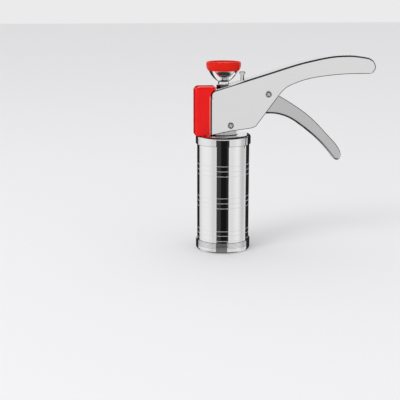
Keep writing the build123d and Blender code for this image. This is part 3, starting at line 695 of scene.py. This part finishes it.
# The screws: bought pan-head screws with a cross recess. Their grey is painted by depth
# into the head: painted shade on the head's face, darkest just under it as a dark outline,
# and a painted highlight on everything deeper, the recess included.
screw_steel = polished_steel("bright screw steel", 0.62, 0.22, (1.0, 1.0, 1.0), grain=0.06)
screw_tree = screw_steel.node_tree
screw_spot = screw_tree.nodes.new("ShaderNodeTexCoord")
screw_parts = screw_tree.nodes.new("ShaderNodeSeparateXYZ")
screw_tree.links.new(screw_spot.outputs["Object"], screw_parts.inputs["Vector"])
screw_out = screw_tree.nodes.new("ShaderNodeMath")
screw_out.operation = "ABSOLUTE"
screw_tree.links.new(screw_parts.outputs["Y"], screw_out.inputs[0])
screw_face = -min(spot.co.y for spot in nodes["pivot_screw"].data.vertices)
head_depth = 2.1 * mm
screw_depth = spread_value(
    screw_tree, screw_out.outputs["Value"], (screw_face - head_depth, screw_face)
)
# Painted light and shade by depth: bright deep in the head, near black just under its face.
screw_painted_light = lay_ramp(
    screw_tree, screw_depth, [(0.0, 0.8), (0.78, 0.7), (0.93, 0.12), (1.0, 0.22)]
)
screw_tree.links.new(screw_painted_light, screw_tree.nodes["Principled BSDF"].inputs["Base Color"])
dress(["pivot_screw", "bracket_screws"], screw_steel)

# The nose cover: moulded in glossy red plastic, a hollow cap over the body's open front
# that clips in with two tongues. A painted highlight in lighter red runs along its rear rim,
# and painted shade, near black, lies on the sides of the tongues between it and the body.


def glossy_plastic(name, deep, light, gloss, specular):
    """Moulded plastic with a slow change of tone and a faint ripple in its gloss."""
    plastic = bpy.data.materials.new(name)
    plastic.use_nodes = True
    tree = plastic.node_tree
    link = tree.links.new
    skin = tree.nodes["Principled BSDF"]
    skin.inputs["IOR"].default_value = 1.5
    skin.inputs["Specular IOR Level"].default_value = specular
    place = tree.nodes.new("ShaderNodeTexCoord")
    flow = cloud_on(tree, place.outputs["Object"], scale=35.0, detail=3.0)
    link(lay_ramp(tree, flow, [(0.3, *deep), (0.7, *light)]), skin.inputs["Base Color"])
    wear = cloud_on(tree, place.outputs["Object"], scale=900.0, detail=2.0)
    rough = spread_value(tree, wear, (0.0, 1.0), (gloss * 0.85, gloss * 1.25))
    link(rough, skin.inputs["Roughness"])
    press_relief(tree, skin, wear, strength=0.05, depth=0.3 * mm)
    return plastic


red_plastic = glossy_plastic(
    "red moulded plastic", (0.80, 0.005, 0.005), (0.86, 0.007, 0.007), gloss=0.2, specular=0.18
)
cover_tree = red_plastic.node_tree
cover_skin = cover_tree.nodes["Principled BSDF"]
cover_place = cover_tree.nodes.new("ShaderNodeTexCoord")
cover_parts = cover_tree.nodes.new("ShaderNodeSeparateXYZ")
cover_tree.links.new(cover_place.outputs["Object"], cover_parts.inputs["Vector"])
cover_side = cover_tree.nodes.new("ShaderNodeMath")
cover_side.operation = "ABSOLUTE"
cover_tree.links.new(cover_parts.outputs["Y"], cover_side.inputs[0])


def cover_zone(source, first, last):
    """A mask that rises from 0 to 1 between two places, in millimetres."""
    return spread_value(cover_tree, source, (first * mm, last * mm))


def cover_both(one, other):
    """The part that two masks share."""
    product = cover_tree.nodes.new("ShaderNodeMath")
    product.operation = "MULTIPLY"
    cover_tree.links.new(one, product.inputs[0])
    cover_tree.links.new(other, product.inputs[1])
    return product.outputs["Value"]


def cover_tint(mask, colour):
    """Lay a colour over the red where a mask says so."""
    blend = cover_tree.nodes.new("ShaderNodeMix")
    blend.data_type = "RGBA"
    under = cover_skin.inputs["Base Color"].links[0].from_socket
    cover_tree.links.new(mask, blend.inputs["Factor"])
    cover_tree.links.new(under, blend.inputs["A"])
    blend.inputs["B"].default_value = (*colour, 1)
    cover_tree.links.new(blend.outputs["Result"], cover_skin.inputs["Base Color"])


# A painted highlight: lighter red along the cover's rear rim, below the top.
painted_rim_highlight = cover_both(
    cover_zone(cover_parts.outputs["X"], -15.3, -15.0),
    cover_zone(cover_parts.outputs["Z"], 155.5, 154.5),
)
cover_tint(painted_rim_highlight, (0.95, 0.20, 0.15))
# Painted shade: the tongues' sides in the gap between cover and body are tinted near black.
tongue_side = cover_both(
    cover_zone(cover_parts.outputs["X"], -16.0, -15.6),
    cover_zone(cover_side.outputs["Value"], 10.8, 10.6),
)
tongue_below_top = cover_zone(cover_parts.outputs["Z"], 161.5, 161.0)
cover_tint(cover_both(tongue_side, tongue_below_top), (0.02, 0.003, 0.003))
dress(["nose_cover"], red_plastic)

# The knob: a spun bright bowl on the rod's end, closed by a red moulded cap with a
# shallow dished top.
knob_foot = 165.71
knob_rim = 179.31
knob_lift = knob_rim - knob_foot
knob_neck = 5.3
rod_radius = 4.0
knob_steps = 96


def arc_through(first, middle, last, steps):
    """Points of the arc through three points of a side view, both ends included."""
    (ax, ay), (bx, by), (cx, cy) = first, middle, last
    twice = 2 * (ax * (by - cy) + bx * (cy - ay) + cx * (ay - by))
    a, b, c = ax**2 + ay**2, bx**2 + by**2, cx**2 + cy**2
    ux = (a * (by - cy) + b * (cy - ay) + c * (ay - by)) / twice
    uy = (a * (cx - bx) + b * (ax - cx) + c * (bx - ax)) / twice
    radius = math.hypot(ax - ux, ay - uy)
    start = math.atan2(ay - uy, ax - ux)
    sweep = (math.atan2(cy - uy, cx - ux) - start + math.pi) % math.tau - math.pi
    turns = [start + sweep * i / steps for i in range(steps + 1)]
    return [(ux + radius * math.cos(turn), uy + radius * math.sin(turn)) for turn in turns]


bowl_curve = arc_through(
    (knob_neck, knob_foot + knob_lift * 0.2),
    (11.4, knob_foot + knob_lift * 0.6),
    (15.0, knob_rim),
    14,
)
bowl_wall = [(rod_radius, knob_foot), (knob_neck, knob_foot)] + bowl_curve
bowl_wall.append((rod_radius, knob_rim))
knob_bowl = turn_on_lathe("knob_bowl", bowl_wall, steps=knob_steps, soften=0.25)
knob_bowl.data.materials.append(cap_steel)
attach(knob_bowl, "plunger")
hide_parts("knob_cup")

grip_side = arc_through((15.05, 0.0), (16.55, 2.3), (17.1, 5.0), 8)
grip_edge = arc_through((17.1, 5.0), (17.2, 6.4), (16.85, 7.7), 5)
grip_lip = arc_through((16.85, 7.7), (16.1, 8.53), (15.2, 8.0), 8)
grip_dish = [(13.6, 7.3), (8.0, 7.1), (0.0, 7.1)]
grip_profile = [(0.0, 0.0)] + grip_side + grip_edge[1:] + grip_lip[1:] + grip_dish
grip_wall = [(radius, knob_rim + height) for radius, height in grip_profile]
knob_grip = turn_on_lathe("knob_grip", grip_wall, steps=knob_steps, closed=False)
orange_red = glossy_plastic(
    "red knob plastic", (0.70, 0.010, 0.003), (0.78, 0.015, 0.005), gloss=0.3, specular=0.1
)
knob_grip.data.materials.append(orange_red)
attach(knob_grip, "plunger")
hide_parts("knob_cap")

# The release pin: turned from bright steel, with a flat head for the thumb and a collar
# that keeps it from pulling out.
dress(["release_pin"], turned_steel)

# The floor: one large sheet of pale paper. Mirrored surfaces don't see it, because the
# surroundings below give them a tent of their own.
floor_bm = bmesh.new()
bmesh.ops.create_grid(floor_bm, x_segments=1, y_segments=1, size=6.0)
floor_mesh = bpy.data.meshes.new("studio_floor")
floor_bm.to_mesh(floor_mesh)
floor_bm.free()
floor = bpy.data.objects.new("studio_floor", floor_mesh)
bpy.context.scene.collection.objects.link(floor)
paper = bpy.data.materials.new("pale floor paper")
paper.use_nodes = True
paper_tree = paper.node_tree
paper_skin = paper_tree.nodes["Principled BSDF"]
paper_skin.inputs["Base Color"].default_value = (0.90, 0.90, 0.91, 1)
paper_skin.inputs["Roughness"].default_value = 0.9
paper_skin.inputs["Specular IOR Level"].default_value = 0.1
floor.data.materials.append(paper)
floor.visible_glossy = False

# The surroundings: pale for the camera and for soft light, but mirrored surfaces see a
# bright tent with a dark roof and a dark table.
world = bpy.data.worlds.new("studio")
bpy.context.scene.world = world
world.use_nodes = True
sky = world.node_tree
sky.nodes.clear()
sky_out = sky.nodes.new("ShaderNodeOutputWorld")
room_light = sky.nodes.new("ShaderNodeBackground")
room_light.inputs["Color"].default_value = (0.83, 0.83, 0.835, 1)
tent_light = sky.nodes.new("ShaderNodeBackground")
ray = sky.nodes.new("ShaderNodeLightPath")
choice = sky.nodes.new("ShaderNodeMixShader")
sky.links.new(ray.outputs["Is Glossy Ray"], choice.inputs["Fac"])
sky.links.new(room_light.outputs["Background"], choice.inputs[1])
sky.links.new(tent_light.outputs["Background"], choice.inputs[2])
sky.links.new(choice.outputs["Shader"], sky_out.inputs["Surface"])

way = sky.nodes.new("ShaderNodeTexCoord")
split_way = sky.nodes.new("ShaderNodeSeparateXYZ")
sky.links.new(way.outputs["Generated"], split_way.inputs["Vector"])


def tent_ramp(source, stops):
    """A grey ramp over one part of the direction, from -1 to 1."""
    spread = spread_value(sky, source, (-1.0, 1.0))
    return lay_ramp(sky, spread, [((place + 1) / 2, grey) for place, grey in stops])


up_and_down = tent_ramp(
    split_way.outputs["Z"],
    [(-1.0, 0.04), (-0.85, 0.05), (-0.75, 0.93), (0.33, 1.0), (0.46, 0.03), (1.0, 0.02)],
)
side_to_side = tent_ramp(
    split_way.outputs["X"],
    [
        (-1.0, 0.97),
        (-0.93, 0.93),
        (-0.76, 0.74),
        (-0.5, 0.8),
        (0.1, 0.82),
        (0.3, 0.84),
        (0.55, 0.82),
        (0.85, 0.96),
        (0.92, 0.86),
        (0.975, 0.62),
    ],
)
tent_sides = sky.nodes.new("ShaderNodeMix")
tent_sides.data_type = "RGBA"
tent_sides.blend_type = "MULTIPLY"
tent_sides.inputs["Factor"].default_value = 1.0
sky.links.new(up_and_down, tent_sides.inputs["A"])
sky.links.new(side_to_side, tent_sides.inputs["B"])
sky.links.new(tent_sides.outputs["Result"], tent_light.inputs["Color"])

# The cards that only mirrored surfaces see: black and grey ones close before the barrel
# for its dark stripe, dark ones beside it and beside the handle's tip for the dark
# outlines, and pale and dark ones under the knob for its bowl.


def card(name, corners, tone):
    """A flat card of one grey, with its corners in millimetres."""
    bm = bmesh.new()
    bm.faces.new([bm.verts.new([value * mm for value in corner]) for corner in corners])
    mesh = bpy.data.meshes.new(name)
    bm.to_mesh(mesh)
    bm.free()
    sheet = bpy.data.objects.new(name, mesh)
    bpy.context.scene.collection.objects.link(sheet)
    face = bpy.data.materials.new(name)
    face.use_nodes = True
    skin = face.node_tree.nodes["Principled BSDF"]
    skin.inputs["Base Color"].default_value = (0, 0, 0, 1)
    skin.inputs["Specular IOR Level"].default_value = 0.0
    skin.inputs["Emission Color"].default_value = (tone, tone, tone * 0.97, 1)
    skin.inputs["Emission Strength"].default_value = 1.0
    mesh.materials.append(face)
    sheet.visible_camera = False
    sheet.visible_diffuse = False
    sheet.visible_shadow = False


def standing_card(name, start, stop, low, high, tone):
    """An upright card over a straight line on the floor, between two heights."""
    card(name, [(*start, low), (*stop, low), (*stop, high), (*start, high)], tone)


flag_way = math.radians(-9.3)
flag_distance = 35
flag_half = 10.5
flag_out = Vector((math.sin(flag_way), -math.cos(flag_way))) * flag_distance
flag_side = Vector((math.cos(flag_way), math.sin(flag_way))) * flag_half
for name, first, last, low, high, tone in (
    ("black_flag_left", -1.0, -0.25, 8.5, 113, 0.045),
    ("black_flag_middle", -0.25, 0.7, 8.5, 113, 0.008),
    ("black_flag_right", 0.7, 1.07, 8.5, 113, 0.03),
    ("grey_flag", -1.0, 0.8, -30, 8.5, 0.2),
):
    start, stop = flag_out + flag_side * first, flag_out + flag_side * last
    standing_card(name, start, stop, low, high, tone)
standing_card("dark_wing_left", (-62, 30), (-27, 30), -30, 163, 0.02)
standing_card("dark_wing_right", (28, 25), (90, 13), -30, 135, 0.02)
standing_card("dark_card_tip", (166, -20), (166, 60), 140, 205, 0.02)
for name, left, right, front, back, left_height, right_height, tone in (
    ("pale_card_front", -27, -6, -9, 2, 164.8, 165.3, 0.95),
    ("pale_card_rear", 7, 19, -9, -2, 166.6, 170.3, 0.95),
    ("dark_card_back", -40, -6, 2, 40, 164.9, 165.4, 0.02),
):
    card(
        name,
        [
            (left, front, left_height),
            (right, front, right_height),
            (right, back, right_height),
            (left, back, left_height),
        ],
        tone,
    )


# The light and the camera: one large soft lamp from the upper left, and a long lens a
# little above the press and to its left.


def soft_lamp(name, place, aim, size, power):
    """A rectangular lamp that shines from its place towards a point."""
    lamp = bpy.data.lights.new(name, "AREA")
    lamp.shape = "RECTANGLE"
    lamp.size, lamp.size_y = size
    lamp.energy = power
    stand = bpy.data.objects.new(name, lamp)
    bpy.context.scene.collection.objects.link(stand)
    look = (Vector(aim) - Vector(place)).to_track_quat("-Z", "Y")
    stand.matrix_world = Matrix.Translation(place) @ look.to_matrix().to_4x4()
    stand.visible_glossy = False


soft_lamp("key", (-1.4, -1.2, 1.8), (0.03, 0, 0.1), (1.0, 1.0), 14)

camera_data = bpy.data.cameras.new("camera")
camera_data.sensor_fit = "HORIZONTAL"
camera_data.sensor_width = 36.0
camera_data.lens = 85.5
camera_data.clip_start = 0.01
camera_data.clip_end = 50.0
camera = bpy.data.objects.new("camera", camera_data)
bpy.context.scene.collection.objects.link(camera)
camera_place = (-0.12874, -0.92776, 0.25976)
yaw, pitch = math.radians(6.4875), math.radians(12.6842)
level = math.cos(pitch)
ahead = Vector((math.sin(yaw) * level, math.cos(yaw) * level, -math.sin(pitch)))
aside = Vector((math.cos(yaw), -math.sin(yaw), 0.0))
above = aside.cross(ahead)
turn = Matrix((aside, above, -ahead)).transposed().to_4x4()
camera.matrix_world = Matrix.Translation(camera_place) @ turn
bpy.context.scene.camera = camera
bpy.context.scene.view_settings.view_transform = "Standard"
